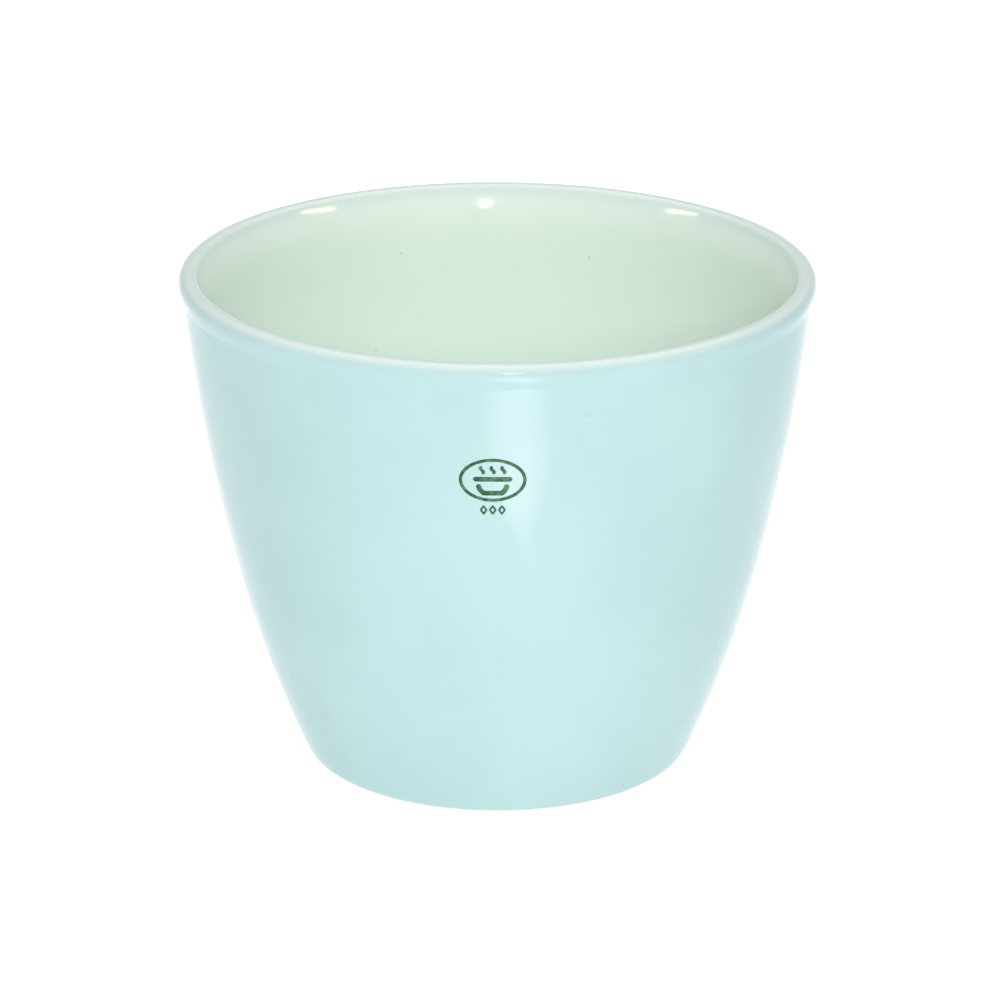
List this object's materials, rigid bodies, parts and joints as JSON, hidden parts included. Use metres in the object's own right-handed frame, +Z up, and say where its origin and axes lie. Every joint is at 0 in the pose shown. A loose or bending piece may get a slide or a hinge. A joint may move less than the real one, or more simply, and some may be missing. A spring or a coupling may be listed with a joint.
{
  "type": "crucible",
  "caption": "Glazed porcelain crucible: a deep tapered cup with a swollen round lip, a small flat foot and a bare unglazed base, for heating samples.",
  "frame": {"origin": "middle of the circle on which the foot stands, at the bottom of the part", "axes": "+Z up along the crucible's axis, out of its mouth; +X and +Y are level, and the shape is the same all round"},
  "size_m": [0.05, 0.05, 0.0403],
  "materials": {
    "glaze": "clear gloss over pale blue-green outside, warmer and paler inside",
    "biscuit": "bare fired porcelain, matt and fine-grained",
    "green_enamel": "fired-on green ceramic colour, satin"
  },
  "bodies": {
    "root": {"crucible_body": "glaze"}
  },
  "joints": []
}
